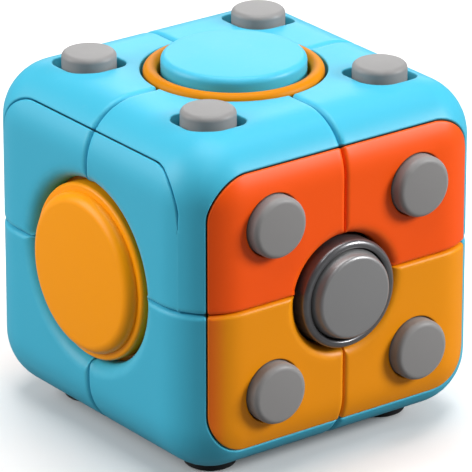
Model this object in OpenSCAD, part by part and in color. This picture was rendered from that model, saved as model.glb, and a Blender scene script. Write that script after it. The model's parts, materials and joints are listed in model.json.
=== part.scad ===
/* [Body] */
// Width of the cube from left to right, over the flat faces
body_w = 33; // [32:0.5:44]
// Depth of the cube from front to rear, over the flat faces
body_d = 33; // [32:0.5:44]
// Height of the cube without its feet
body_h = 31.6; // [31:0.5:42]
// Radius of the rounded edges and corners
edge_r = 5.4; // [4.6:0.1:6]
// Height of the horizontal seam above the middle of the cube
seam_rise = 0.5; // [0:0.1:1]
// Gap between two neighbouring shells or tiles
seam_gap = 0.1; // [0.06:0.02:0.2]
// Thickness of the shells and tiles
wall = 2; // [1.6:0.1:2.4]

/* [Tiles] */
// Distance from a side of the cube to the front tile's outer edge
front_tile_side = 2.1; // [1.8:0.1:3]
// Distance from the top of the cube to the front tile's outer edge
front_tile_top = 2.7; // [2.3:0.1:3.2]
// Distance from the front of the cube to the side tile's outer edge
side_tile_side = 3.3; // [3:0.1:4]
// Distance from the top of the cube to the side tile's outer edge
side_tile_top = 2.4; // [2:0.1:3]
// Corner radius of the tiles
tile_r = 4; // [3:0.1:4.5]

/* [Top face] */
// Radius of the gray corner buttons
top_button_r = 2.5; // [2:0.1:2.6]
// Height that the gray corner buttons stand proud
top_button_proud = 1.1; // [0.9:0.1:1.4]
// Distance from a side of the cube to a corner button's centre
top_button_side = 6.95; // [6.8:0.05:7.2]
// Distance from the front of the cube to a corner button's centre
top_button_front = 7.5; // [7.3:0.1:7.7]
// Gap between a corner button and the flat sides of its rounded square pocket
pocket_gap = 0.22; // [0.16:0.02:0.3]
// Radius of the middle disc
disc_r = 6.6; // [5.4:0.1:6.65]
// Height that the middle disc stands proud
disc_proud = 1.4; // [1.2:0.1:1.6]
// Gap between the disc and the spinning ring
disc_gap = 0.3; // [0.2:0.05:0.4]
// Width of the spinning ring
ring_w = 1.3; // [1.1:0.05:1.4]
// Gap round the spinning ring in its opening
ring_gap = 0.25; // [0.15:0.05:0.3]
// Height that the spinning ring stands proud
ring_proud = 0.4; // [0.2:0.1:0.6]

/* [Front and rear faces] */
// Radius of the gray face buttons
face_button_r = 2.84; // [2.3:0.02:3.4]
// Height that the gray face buttons stand proud
face_button_proud = 1.2; // [1:0.1:1.4]
// Distance from the middle of the face across to a button's centre
face_button_x = 8; // [7.9:0.1:8.4]
// Distance from the middle of the face up or down to a button's centre
face_button_z = 7.9; // [7.5:0.1:8]
// Width of the metal collar's rim
collar_rim = 0.8; // [0.6:0.1:1]
// Height that the metal collar stands proud
collar_proud = 0.7; // [0.5:0.1:0.9]
// Radius of the metal middle button
centre_button_r = 4.2; // [3.5:0.1:4.6]
// Height that the metal middle button stands proud
centre_button_proud = 1.5; // [1.3:0.1:1.8]
// Height of the middle button's axis above the middle of the cube
centre_button_rise = -0.5; // [-0.6:0.1:0]

/* [Side faces] */
// Radius of the thumb pad's raised cap
pad_cap_r = 7.5; // [6.2:0.1:7.6]
// Height that the thumb pad stands proud
pad_proud = 0.8; // [0.6:0.1:1.2]
// Width of the thumb pad's lower step
pad_step = 0.7; // [0.5:0.1:0.8]
// Depth of the lower step below the face
pad_step_drop = 0.25; // [0.1:0.05:0.4]
// Gap round the thumb pad in its round opening
pad_rim_gap = 0.35; // [0.2:0.05:0.4]

/* [Travel] */
// Stroke of the gray buttons
button_travel = 0.8; // [0.5:0.1:0.8]
// Stroke of the middle disc and the thumb pads
disc_travel = 1; // [0.6:0.1:1.2]
// Stroke of the metal middle buttons
centre_travel = 0.8; // [0.5:0.1:0.9]

/* [Feet and fasteners] */
// Radius of the rubber feet
foot_r = 2.4; // [2.2:0.05:2.5]
// Height that the rubber feet stand below the cube
foot_h = 1.1; // [0.8:0.1:1.4]
// Distance from a side of the cube to a foot's centre
foot_side = 6.85; // [6.8:0.05:7.2]
// Distance from the front of the cube to a foot's centre
foot_front = 7.2; // [7:0.1:7.4]
// Radius of the screws' shanks
screw_r = 1; // [0.8:0.05:1]
// Radius of the screws' heads
screw_head_r = 1.7; // [1.5:0.05:1.75]

/* [Fits] */
// Gap round a sliding stem or a guided cap
slide_gap = 0.05; // [0.03:0.01:0.1]
// Gap round a gray button in its round opening
cap_gap = 0.1; // [0.06:0.02:0.1]
// Gap between a flange at rest and the wall that stops it
flange_gap = 0.1; // [0.05:0.05:0.2]
// Gap between a rubber pad and the button above it
pad_gap = 0.05; // [0.02:0.01:0.1]

/* [Hidden] */
$fn = 64;

shell_blue = [0.36, 0.77, 0.90];
tile_orange = [0.96, 0.37, 0.10];
tile_amber = [0.91, 0.59, 0.08];
pad_orange = [0.99, 0.62, 0.08];
button_gray = [0.62, 0.61, 0.61];
metal_gray = [0.35, 0.35, 0.36];
core_gray = [0.82, 0.83, 0.84];
rubber_black = [0.08, 0.08, 0.09];
silicone_white = [0.88, 0.90, 0.90];
steel = [0.70, 0.71, 0.73];

half_w = body_w / 2;
half_d = body_d / 2;
half_h = body_h / 2;
mid_z = foot_h + half_h;
half_gap = seam_gap / 2;
far = 2 * (body_w + body_d + body_h);
// How far a cut runs past the surface that it opens
past = 2;

// Layers between the shells and the core: a button's flange, its stroke and the keypad
flange_t = 0.8;
flange_rim = 0.6;
flange_lap = 0.3;
flange_room = 0.3;
keypad_t = 0.5;
pad_squashed = 0.3;
core_space = flange_gap + flange_t + button_travel + pad_squashed + keypad_t;

// Depths below a face of the cube
wall_in = -wall;
core_in = -wall - core_space;
core_wall = 2.2;
core_w = half_w + core_in;
core_d = half_d + core_in;
core_h = half_h + core_in;
inner_r = edge_r - wall;

flange_top = wall_in - flange_gap;
flange_bottom = flange_top - flange_t;
cap_edge = 0.5;

top_button_x = half_w - top_button_side;
top_button_y = half_d - top_button_front;
pocket_half = top_button_r + pocket_gap;
pocket_r = 1.2;
pocket_corner = (pocket_half - pocket_r) * sqrt(2) + pocket_r;
top_flange_r = pocket_corner + flange_lap;

keypad_margin = 0.4;
dome_base_r = 2.2;
dome_top_r = 1.5;
pad_h = flange_bottom - pad_gap - core_in - keypad_t;

ring_bore_r = disc_r + disc_gap;
ring_r = ring_bore_r + ring_w;
ring_middle_r = (ring_r + ring_bore_r) / 2;
ring_hole_r = ring_r + ring_gap;
ring_flange_lap = 0.5;
ring_flange_r = ring_hole_r + ring_flange_lap;
ring_tube_r = (ring_r - ring_bore_r) / 2;
race_r = ring_flange_r;
race_rib = 0.4;
race_rib_h = 0.5;
race_top = flange_bottom - flange_gap;

stem_r = 2;
stem_bore_r = stem_r + slide_gap;
spring_pocket = 1;
spring_floor = core_in - spring_pocket;
cap_wall = 1.4;
spring_wire = 0.5;
spring_room = 0.75;
spring_turns = 4;
spring_r = min(disc_r, pad_cap_r) - cap_wall - spring_room - spring_wire / 2;
spring_pocket_r = spring_r + spring_wire;
clip_t = 0.5;
clip_groove = 0.5;
clip_neck_r = stem_r - clip_groove;
clip_rim = 0.9;
clip_r = stem_r + clip_rim;
clip_mouth = 1.8;
clip_tail = 0.4;
disc_edge = 0.6;

collar_r = centre_button_r + cap_gap + collar_rim;
collar_gap = 0.25;
collar_hole_r = collar_r + collar_gap;
collar_flange_rim = 0.9;
collar_flange_r = collar_r + collar_flange_rim;
collar_flange_t = 0.9;
centre_flange_rim = 0.35;
centre_flange_r = centre_button_r + centre_flange_rim;
centre_stop_drop = 0.6;
centre_stop = wall_in - centre_stop_drop;
centre_stem_r = 1.5;
centre_bore_r = centre_stem_r + slide_gap;
small_spring_r = 2.5;
small_spring_wire = 0.35;
small_spring_turns = 3;
small_pocket_r = small_spring_r + small_spring_wire;

pad_step_r = pad_cap_r + pad_step;
pad_hole_r = pad_step_r + pad_rim_gap;
pad_flange_r = pad_hole_r + flange_rim;
pad_edge = 1.1;
pad_step_edge = 0.35;

foot_x = half_w - foot_side;
foot_y = half_d - foot_front;
foot_recess = 0.5;
foot_edge = 0.3;
boss_rim = 0.5;
boss_r = foot_r + boss_rim;
post_wall = 1.1;
post_r = screw_r + post_wall;
cross_rim = 0.6;
cross_l = 2 * (screw_head_r - cross_rim);
cross_w = 0.44;
cross_deep = 0.6;
head_t = 1.2;
thread_play = 0.1;
screw_depth = 9;
lid_screw_l = 6;
lug_screw_l = 3.4;
screw_tip = 0.5;

peg_r = 0.8;
peg_deep = 1.2;
peg_clear = 0.1;
peg_rise = 3.1;
peg_room = 0.6;
side_peg_reach = pad_flange_r + peg_r + peg_room;
side_peg_angles = [27, 47];
// Inner ends of the pegs, which stop short of the screws in the core's posts
screw_clear = 0.15;
face_peg_end = max(core_d - peg_deep, foot_y + screw_r + screw_clear);
side_peg_end = max(core_w - peg_deep, foot_x + screw_r + screw_clear);

// Lugs of the upper shells, between the button flanges and above the collar's flange
lug_room = 0.4;
lug_rim = 0.3;
lug_x = face_button_x - face_button_r - flange_rim - lug_room - screw_head_r;
lug_side = lug_x + screw_head_r + thread_play + lug_rim;
lug_low = centre_button_rise + collar_flange_r + lug_room;
lug_drop = 0.2;
lug_high = half_h - wall - lug_drop;
lug_screw_z = min(lug_low + screw_head_r + thread_play, core_h - core_wall - screw_r - thread_play);
lug_gap = 0.1;
lug_seat = half_d - wall - lug_gap - head_t;

// Moves a shape made about the cube's middle up onto its feet
module lift() { translate([0, 0, mid_z]) children(); }

// Mirrors a shape made in the corner where x, y and z are positive
module corner(sx, sy, sz) {
    mirror([sx < 0 ? 1 : 0, 0, 0]) mirror([0, sy < 0 ? 1 : 0, 0]) mirror([0, 0, sz < 0 ? 1 : 0]) children();
}

// Turns a shape made upwards from a face, with z = 0 on the face, onto each side of the cube
module on_top() { translate([0, 0, half_h]) children(); }
module on_front() { translate([0, -half_d, 0]) rotate([90, 0, 0]) children(); }
module on_rear() { translate([0, half_d, 0]) rotate([90, 0, 180]) children(); }
module on_left() { translate([-half_w, 0, 0]) rotate([90, 0, -90]) children(); }
module on_right() { translate([half_w, 0, 0]) rotate([90, 0, 90]) children(); }

// Corner of a rounded box, from the point low out to half sizes w, d and h
module corner_block(w, d, h, r, low) {
    translate(low) cube([w - r, d - r, h] - low);
    translate(low) cube([w - r, d, h - r] - low);
    translate(low) cube([w, d - r, h - r] - low);
    translate([w - r, d - r, low.z]) cylinder(r = r, h = h - r - low.z);
    translate([w - r, low.y, h - r]) rotate([-90, 0, 0]) cylinder(r = r, h = d - r - low.y);
    translate([low.x, d - r, h - r]) rotate([0, 90, 0]) cylinder(r = r, h = w - r - low.x);
    translate([w - r, d - r, h - r]) sphere(r = r);
}

// Where a corner piece starts, half a seam away from the three seam planes
function corner_low(sz) = [half_gap, half_gap, half_gap + (sz > 0 ? seam_rise : -seam_rise)];

module outer_corner(sz) { corner_block(half_w, half_d, half_h, edge_r, corner_low(sz)); }
module inner_corner() {
    corner_block(half_w - wall, half_d - wall, half_h - wall, inner_r, [-past, -past, -past]);
}

// Outline of one quarter of a tile, which reaches to w and h from the middle of its face
module tile_outline(w, h, low_u, low_v) {
    translate([low_u, low_v]) square([w - low_u, h - tile_r - low_v]);
    translate([low_u, low_v]) square([w - tile_r - low_u, h - low_v]);
    translate([w - tile_r, h - tile_r]) circle(r = tile_r);
}

// The outline carried through the outer wall, towards +Y or +X, and grown by a gap
module front_tile_prism(gap, low_u, low_v) {
    translate([0, far, 0]) rotate([90, 0, 0]) linear_extrude(far - half_d + wall)
        tile_outline(half_w - front_tile_side + gap, half_h - front_tile_top + gap, low_u, low_v);
}
module side_tile_prism(gap, low_u, low_v) {
    translate([half_w - wall, 0, 0]) rotate([90, 0, 90]) linear_extrude(far)
        tile_outline(half_d - side_tile_side + gap, half_h - side_tile_top + gap, low_u, low_v);
}

// Rods along +Y and +X, for openings and pegs
module rod_y(x, z, r, y0, y1) { translate([x, y0, z]) rotate([-90, 0, 0]) cylinder(r = r, h = y1 - y0); }
module rod_x(y, z, r, x0, x1) { translate([x0, y, z]) rotate([0, 90, 0]) cylinder(r = r, h = x1 - x0); }

module rounded_square(half, r) {
    square([2 * half, 2 * (half - r)], center = true);
    square([2 * (half - r), 2 * half], center = true);
    for (x = [-1, 1], y = [-1, 1]) translate([x * (half - r), y * (half - r)]) circle(r = r);
}

// Room for a face button's flange behind the wall
module face_flange_room() {
    rod_y(face_button_x, face_button_z, face_button_r + flange_rim + flange_room, core_d, half_d - wall);
}

// One of the eight corner shells
module shell(sx, sy, sz) {
    low = corner_low(sz);
    corner(sx, sy, sz) difference() {
        union() {
            difference() {
                outer_corner(sz);
                inner_corner();
                front_tile_prism(seam_gap, -past, -past);
                if (sz > 0) side_tile_prism(seam_gap, -past, -past);
                else rod_x(0, 0, pad_hole_r, 0, far);
                if (sz > 0) cylinder(r = ring_hole_r, h = far);
            }
            if (sz > 0) lug();
            else translate([foot_x, foot_y, core_h]) cylinder(r = boss_r, h = -core_in - wall / 2);
        }
        face_flange_room();
        if (sz > 0) {
            translate([top_button_x, top_button_y, core_h]) {
                cylinder(r = top_flange_r + cap_gap, h = core_space);
                linear_extrude(far) rounded_square(pocket_half, pocket_r);
            }
            rod_y(lug_x, lug_screw_z, screw_r + thread_play, 0, far);
            rod_y(lug_x, lug_screw_z, screw_head_r + thread_play, lug_seat, half_d - wall);
        } else translate([foot_x, foot_y, 0]) {
            cylinder(r = screw_r + thread_play, h = far);
            translate([0, 0, half_h - foot_recess - head_t])
                cylinder(r = screw_head_r + thread_play, h = far);
            translate([0, 0, half_h - foot_recess]) cylinder(r = foot_r, h = far);
        }
    }
}

// Ear of an upper shell that is screwed to the core behind the tile
module lug() {
    translate([half_gap, core_d, lug_low])
        cube([lug_side - half_gap, core_space - lug_gap, lug_high - lug_low]);
}

module shell_top_front_left() { color(shell_blue) lift() shell(-1, -1, 1); }
module shell_top_front_right() { color(shell_blue) lift() shell(1, -1, 1); }
module shell_top_rear_left() { color(shell_blue) lift() shell(-1, 1, 1); }
module shell_top_rear_right() { color(shell_blue) lift() shell(1, 1, 1); }
module shell_bottom_front_left() { color(shell_blue) lift() shell(-1, -1, -1); }
module shell_bottom_front_right() { color(shell_blue) lift() shell(1, -1, -1); }
module shell_bottom_rear_left() { color(shell_blue) lift() shell(-1, 1, -1); }
module shell_bottom_rear_right() { color(shell_blue) lift() shell(1, 1, -1); }

// Places of the two locating pegs of a face tile and of a side tile, across and up
outer_peg_x = half_w - edge_r - peg_r - peg_clear;
inner_peg_x = collar_flange_r + peg_r + peg_room;
face_pegs = [[outer_peg_x, peg_rise], [inner_peg_x, peg_rise]];
side_pegs = [for (a = side_peg_angles) side_peg_reach * [cos(a), sin(a)]];

// Quarter tile of the front or rear face
module face_tile(sx, sy, sz) {
    low = corner_low(sz);
    corner(sx, sy, sz) {
        difference() {
            intersection() {
                outer_corner(sz);
                front_tile_prism(0, low.x, low.z);
            }
            rod_y(face_button_x, face_button_z, face_button_r + cap_gap, 0, far);
            rod_y(0, sz * centre_button_rise, collar_hole_r, 0, far);
        }
        for (p = face_pegs) rod_y(p[0], p[1], peg_r, face_peg_end, half_d - wall);
    }
}

module front_tile_top_left() { color(tile_orange) lift() face_tile(-1, -1, 1); }
module front_tile_top_right() { color(tile_orange) lift() face_tile(1, -1, 1); }
module front_tile_bottom_left() { color(tile_amber) lift() face_tile(-1, -1, -1); }
module front_tile_bottom_right() { color(tile_amber) lift() face_tile(1, -1, -1); }
module rear_tile_top_left() { color(tile_orange) lift() face_tile(-1, 1, 1); }
module rear_tile_top_right() { color(tile_orange) lift() face_tile(1, 1, 1); }
module rear_tile_bottom_left() { color(tile_amber) lift() face_tile(-1, 1, -1); }
module rear_tile_bottom_right() { color(tile_amber) lift() face_tile(1, 1, -1); }

// Upper quarter tile of the left or right face
module side_tile(sx, sy) {
    low = corner_low(1);
    corner(sx, sy, 1) {
        difference() {
            intersection() {
                outer_corner(1);
                side_tile_prism(0, low.y, low.z);
            }
            rod_x(0, 0, pad_hole_r, 0, far);
        }
        for (p = side_pegs) rod_x(p[0], p[1], peg_r, side_peg_end, half_w - wall);
    }
}

module left_tile_front() { color(shell_blue) lift() side_tile(-1, -1); }
module left_tile_rear() { color(shell_blue) lift() side_tile(-1, 1); }
module right_tile_front() { color(shell_blue) lift() side_tile(1, -1); }
module right_tile_rear() { color(shell_blue) lift() side_tile(1, 1); }

// Open-topped box that carries every face
module core_frame() {
    rim = core_h - core_wall;
    color(core_gray) lift() difference() {
        union() {
            difference() {
                translate([-core_w, -core_d, -core_h]) cube([2 * core_w, 2 * core_d, core_h + rim]);
                translate([core_wall - core_w, core_wall - core_d, core_wall - core_h])
                    cube([2 * (core_w - core_wall), 2 * (core_d - core_wall), far]);
            }
            for (x = [-1, 1], y = [-1, 1]) translate([x * foot_x, y * foot_y, -core_h])
                cylinder(r = post_r, h = core_h + rim);
            for (x = [-1, 1], y = [-1, 1]) corner(x, y, 1)
                rod_y(lug_x, lug_screw_z, post_r, core_d - lug_screw_l, core_d - core_wall / 2);
        }
        translate([-core_w, -core_d, rim]) cube([2 * core_w, 2 * core_d, far]);
        for (x = [-1, 1], y = [-1, 1]) {
            translate([x * foot_x, y * foot_y, -far]) cylinder(r = screw_r, h = far - core_h + screw_depth);
            translate([x * foot_x, y * foot_y, rim - lid_screw_l]) cylinder(r = screw_r, h = far);
            corner(x, y, 1) rod_y(lug_x, lug_screw_z, screw_r, core_d - lug_screw_l, far);
            for (z = [-1, 1], p = face_pegs) corner(x, y, z) rod_y(p[0], p[1], peg_r, face_peg_end, far);
            for (p = side_pegs) corner(x, y, 1) rod_x(p[0], p[1], peg_r, side_peg_end, far);
        }
        for (y = [-1, 1]) corner(1, y, 1) {
            rod_y(0, centre_button_rise, centre_bore_r, core_d - core_wall - past, far);
            rod_y(0, centre_button_rise, small_pocket_r, core_d - spring_pocket, far);
        }
        for (x = [-1, 1]) corner(x, 1, 1) {
            rod_x(0, 0, stem_bore_r, core_w - core_wall - past, far);
            rod_x(0, 0, spring_pocket_r, core_w - spring_pocket, far);
        }
    }
}

// Plate that closes the core and guides the middle disc
module core_lid() {
    color(core_gray) lift() difference() {
        translate([-core_w, -core_d, core_h - core_wall]) cube([2 * core_w, 2 * core_d, core_wall]);
        cylinder(r = stem_bore_r, h = far);
        translate([0, 0, core_h - spring_pocket]) cylinder(r = spring_pocket_r, h = far);
        for (x = [-1, 1], y = [-1, 1]) translate([x * foot_x, y * foot_y, 0]) {
            cylinder(r = screw_r + thread_play, h = far);
            translate([0, 0, core_h - head_t]) cylinder(r = screw_head_r + thread_play, h = far);
        }
    }
}

// Machine screw with a cross recess, head up with its seat at z = 0
module screw(length) {
    difference() {
        union() {
            translate([0, 0, -length]) cylinder(r = screw_r, h = length);
            cylinder(r = screw_head_r, h = head_t);
        }
        for (a = [0, 90]) rotate([0, 0, a])
            translate([-cross_l / 2, -cross_w / 2, head_t - cross_deep]) cube([cross_l, cross_w, past]);
    }
}

module foot_screws() {
    seat = half_h - foot_recess - head_t;
    color(steel) lift() for (x = [-1, 1], y = [-1, 1]) corner(x, y, -1)
        translate([foot_x, foot_y, seat]) screw(seat - core_h + screw_depth - screw_tip);
}
module lid_screws() {
    color(steel) lift() for (x = [-1, 1], y = [-1, 1]) corner(x, y, 1)
        translate([foot_x, foot_y, core_h - head_t]) screw(core_wall - head_t + lid_screw_l - screw_tip);
}
module lug_screws() {
    color(steel) lift() for (x = [-1, 1], y = [-1, 1]) corner(x, y, 1)
        translate([lug_x, lug_seat, lug_screw_z]) rotate([-90, 0, 0])
            screw(lug_seat - core_d + lug_screw_l - screw_tip);
}

module rubber_feet() {
    color(rubber_black) lift() for (x = [-1, 1], y = [-1, 1]) corner(x, y, -1)
        translate([foot_x, foot_y, half_h - foot_recess]) rotate_extrude()
            rounded_profile(foot_r, 0, foot_recess + foot_h, foot_edge);
}

// Half section of a disc of radius r from z0 to z1 with a rounded upper edge
module rounded_profile(r, z0, z1, edge) {
    translate([0, z0]) square([r, z1 - z0 - edge]);
    translate([0, z0]) square([r - edge, z1 - z0]);
    translate([r - edge, z1 - edge]) circle(r = edge);
}

// Push button that is kept in by a flange behind the wall
module push_button(r, proud, flange_r) {
    rotate_extrude() {
        rounded_profile(r, flange_bottom, proud, cap_edge);
        translate([0, flange_bottom]) square([flange_r, flange_t]);
    }
}

module top_button(sx, sy) {
    color(button_gray) lift() on_top() translate([sx * top_button_x, sy * top_button_y, 0])
        push_button(top_button_r, top_button_proud, top_flange_r);
}
module top_button_front_left() { top_button(-1, -1); }
module top_button_front_right() { top_button(1, -1); }
module top_button_rear_left() { top_button(-1, 1); }
module top_button_rear_right() { top_button(1, 1); }

module face_button(u, v) {
    translate([u * face_button_x, v * face_button_z, 0])
        push_button(face_button_r, face_button_proud, face_button_r + flange_rim);
}
module front_button_top_left() { color(button_gray) lift() on_front() face_button(-1, 1); }
module front_button_top_right() { color(button_gray) lift() on_front() face_button(1, 1); }
module front_button_bottom_left() { color(button_gray) lift() on_front() face_button(-1, -1); }
module front_button_bottom_right() { color(button_gray) lift() on_front() face_button(1, -1); }
module rear_button_top_left() { color(button_gray) lift() on_rear() face_button(1, 1); }
module rear_button_top_right() { color(button_gray) lift() on_rear() face_button(-1, 1); }
module rear_button_bottom_left() { color(button_gray) lift() on_rear() face_button(1, -1); }
module rear_button_bottom_right() { color(button_gray) lift() on_rear() face_button(-1, -1); }

// Rubber dome under a button, on its keypad
module key_dome() {
    translate([0, 0, core_in]) cylinder(r1 = dome_base_r, r2 = dome_top_r, h = keypad_t + pad_h);
}

module top_keypad() {
    color(silicone_white) lift() on_top() difference() {
        union() {
            translate([keypad_margin - core_w, keypad_margin - core_d, core_in])
                cube([2 * (core_w - keypad_margin), 2 * (core_d - keypad_margin), keypad_t]);
            for (x = [-1, 1], y = [-1, 1]) translate([x * top_button_x, y * top_button_y, 0]) key_dome();
        }
        translate([0, 0, -far / 2]) cylinder(r = race_r + flange_room, h = far);
    }
}

module face_keypad() {
    notch = lug_side + flange_room;
    difference() {
        union() {
            translate([keypad_margin - core_w, keypad_margin - core_h, core_in])
                cube([2 * (core_w - keypad_margin), 2 * (core_h - keypad_margin), keypad_t]);
            for (u = [-1, 1], v = [-1, 1]) translate([u * face_button_x, v * face_button_z, 0]) key_dome();
        }
        translate([-notch, 0, -far / 2]) cube([2 * notch, far, far]);
        translate([0, centre_button_rise, -far / 2]) cylinder(r = collar_flange_r + flange_room, h = far);
        for (u = [-1, 1], v = [-1, 1], p = face_pegs)
            translate([u * p[0], v * p[1], -far / 2]) cylinder(r = peg_r + thread_play, h = far);
    }
}
module front_keypad() { color(silicone_white) lift() on_front() face_keypad(); }
module rear_keypad() { color(silicone_white) lift() on_rear() face_keypad(); }

// Fixed metal collar round the middle button, with a lip that stops the button's flange
module collar() {
    translate([0, centre_button_rise, 0]) rotate_extrude() difference() {
        union() {
            rounded_profile(collar_r, core_in, collar_proud, cap_edge);
            translate([0, core_in]) square([collar_flange_r, collar_flange_t]);
        }
        translate([-past, core_in - past]) square([past + centre_button_r + cap_gap, far]);
        translate([-past, core_in - past])
            square([past + centre_flange_r + cap_gap, centre_stop - core_in + past]);
    }
}
module front_collar() { color(metal_gray) lift() on_front() collar(); }
module rear_collar() { color(metal_gray) lift() on_rear() collar(); }

module centre_button() {
    low = centre_stop - flange_gap - flange_t;
    stem_end = core_in - core_wall - centre_travel / 2;
    translate([0, centre_button_rise, 0]) rotate_extrude() {
        rounded_profile(centre_button_r, low, centre_button_proud, cap_edge);
        translate([0, low]) square([centre_flange_r, flange_t]);
        translate([0, stem_end]) square([centre_stem_r, low + flange_t / 2 - stem_end]);
    }
}
module front_centre_button() { color(metal_gray) lift() on_front() centre_button(); }
module rear_centre_button() { color(metal_gray) lift() on_rear() centre_button(); }

// Bearing washer with a rib that centres the spinning ring
module ring_race() {
    color(silicone_white) lift() on_top() rotate_extrude() {
        translate([ring_bore_r, core_in]) square([race_r - ring_bore_r, race_top - core_in]);
        translate([ring_middle_r - race_rib / 2, core_in]) square([race_rib, race_top + race_rib_h - core_in]);
    }
}

module spin_ring() {
    groove = race_rib + 2 * slide_gap;
    color(pad_orange) lift() on_top() rotate_extrude() difference() {
        union() {
            translate([ring_middle_r, ring_proud - ring_tube_r]) circle(r = ring_tube_r);
            translate([ring_bore_r, flange_bottom])
                square([ring_r - ring_bore_r, ring_proud - ring_tube_r - flange_bottom]);
            translate([ring_bore_r, flange_bottom]) square([ring_flange_r - ring_bore_r, flange_t]);
        }
        translate([ring_middle_r - groove / 2, flange_bottom - past]) square([groove, past + race_rib_h]);
    }
}

// Half section of a hollow cap on a guided stem
module hollow_cap(r, proud, edge, skirt, inner) {
    difference() {
        rounded_profile(r, skirt, proud, edge);
        translate([-past, skirt - past]) square([past + inner, proud - cap_wall - skirt + past]);
    }
}

module top_disc() {
    stem_end = core_in - core_wall - flange_gap - clip_t;
    color(shell_blue) lift() on_top() rotate_extrude() {
        hollow_cap(disc_r, disc_proud, disc_edge, flange_bottom, disc_r - cap_wall);
        translate([0, stem_end + clip_t]) square([stem_r, disc_proud - cap_wall / 2 - stem_end - clip_t]);
        translate([0, stem_end - clip_tail]) square([clip_neck_r, 2 * clip_t + clip_tail]);
    }
}

module disc_clip() {
    stem_end = core_in - core_wall - flange_gap - clip_t;
    color(steel) lift() on_top() translate([0, 0, stem_end]) difference() {
        cylinder(r = clip_r, h = clip_t);
        translate([0, 0, -past]) cylinder(r = clip_neck_r, h = far);
        translate([0, -clip_mouth / 2, -past]) cube([far, clip_mouth, far]);
    }
}

module thumb_pad() {
    rotate_extrude() {
        hollow_cap(pad_cap_r, pad_proud, pad_edge, flange_bottom, pad_cap_r - cap_wall);
        difference() {
            rounded_profile(pad_step_r, flange_bottom, -pad_step_drop, pad_step_edge);
            translate([-past, flange_bottom - past]) square([past + pad_cap_r - cap_wall / 2, far]);
        }
        translate([pad_cap_r - cap_wall, flange_bottom]) square([pad_flange_r - pad_cap_r + cap_wall, flange_t]);
        translate([0, core_in - core_wall - disc_travel / 2])
            square([stem_r, pad_proud - cap_wall / 2 - core_in + core_wall + disc_travel / 2]);
    }
}
module left_thumb_pad() { color(pad_orange) lift() on_left() thumb_pad(); }
module right_thumb_pad() { color(pad_orange) lift() on_right() thumb_pad(); }

// Round wire wound about Z, from z0 to z1
module coil_spring(r, wire, z0, z1, turns) {
    sides = 8;
    steps = 24 * turns;
    rise = z1 - z0 - wire;
    points = [for (i = [0 : steps], k = [0 : sides - 1]) let (
        turn = 360 * turns * i / steps,
        reach = r + wire / 2 * cos(360 * k / sides),
        z = z0 + wire / 2 + rise * i / steps + wire / 2 * sin(360 * k / sides)
    ) [reach * cos(turn), reach * sin(turn), z]];
    skin = [for (i = [0 : steps - 1], k = [0 : sides - 1])
        let (a = i * sides + k, b = i * sides + (k + 1) % sides) [a, a + sides, b + sides, b]];
    first = [for (k = [0 : sides - 1]) k];
    last = [for (k = [sides - 1 : -1 : 0]) steps * sides + k];
    polyhedron(points = points, faces = concat(skin, [first, last]), convexity = 10);
}

module disc_spring() {
    color(steel) lift() on_top()
        coil_spring(spring_r, spring_wire, spring_floor, disc_proud - cap_wall - pad_gap, spring_turns);
}
module side_spring() {
    coil_spring(spring_r, spring_wire, spring_floor, pad_proud - cap_wall - pad_gap, spring_turns);
}
module left_spring() { color(steel) lift() on_left() side_spring(); }
module right_spring() { color(steel) lift() on_right() side_spring(); }
module centre_spring() {
    translate([0, centre_button_rise, 0]) coil_spring(small_spring_r, small_spring_wire, spring_floor,
        centre_stop - flange_gap - flange_t - pad_gap, small_spring_turns);
}
module front_spring() { color(steel) lift() on_front() centre_spring(); }
module rear_spring() { color(steel) lift() on_rear() centre_spring(); }

core_frame();
core_lid();
shell_top_front_left();
shell_top_front_right();
shell_top_rear_left();
shell_top_rear_right();
shell_bottom_front_left();
shell_bottom_front_right();
shell_bottom_rear_left();
shell_bottom_rear_right();
front_tile_top_left();
front_tile_top_right();
front_tile_bottom_left();
front_tile_bottom_right();
rear_tile_top_left();
rear_tile_top_right();
rear_tile_bottom_left();
rear_tile_bottom_right();
left_tile_front();
left_tile_rear();
right_tile_front();
right_tile_rear();
front_collar();
rear_collar();
ring_race();
rubber_feet();
foot_screws();
lug_screws();
lid_screws();
top_keypad();
front_keypad();
rear_keypad();
top_disc();
disc_clip();
disc_spring();
spin_ring();
top_button_front_left();
top_button_front_right();
top_button_rear_left();
top_button_rear_right();
front_button_top_left();
front_button_top_right();
front_button_bottom_left();
front_button_bottom_right();
rear_button_top_left();
rear_button_top_right();
rear_button_bottom_left();
rear_button_bottom_right();
front_centre_button();
rear_centre_button();
front_spring();
rear_spring();
left_thumb_pad();
right_thumb_pad();
left_spring();
right_spring();
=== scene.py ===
import json
import math

import bmesh
import bpy
import numpy as np
from mathutils import Matrix, Vector
from mathutils.geometry import delaunay_2d_cdt

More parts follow.
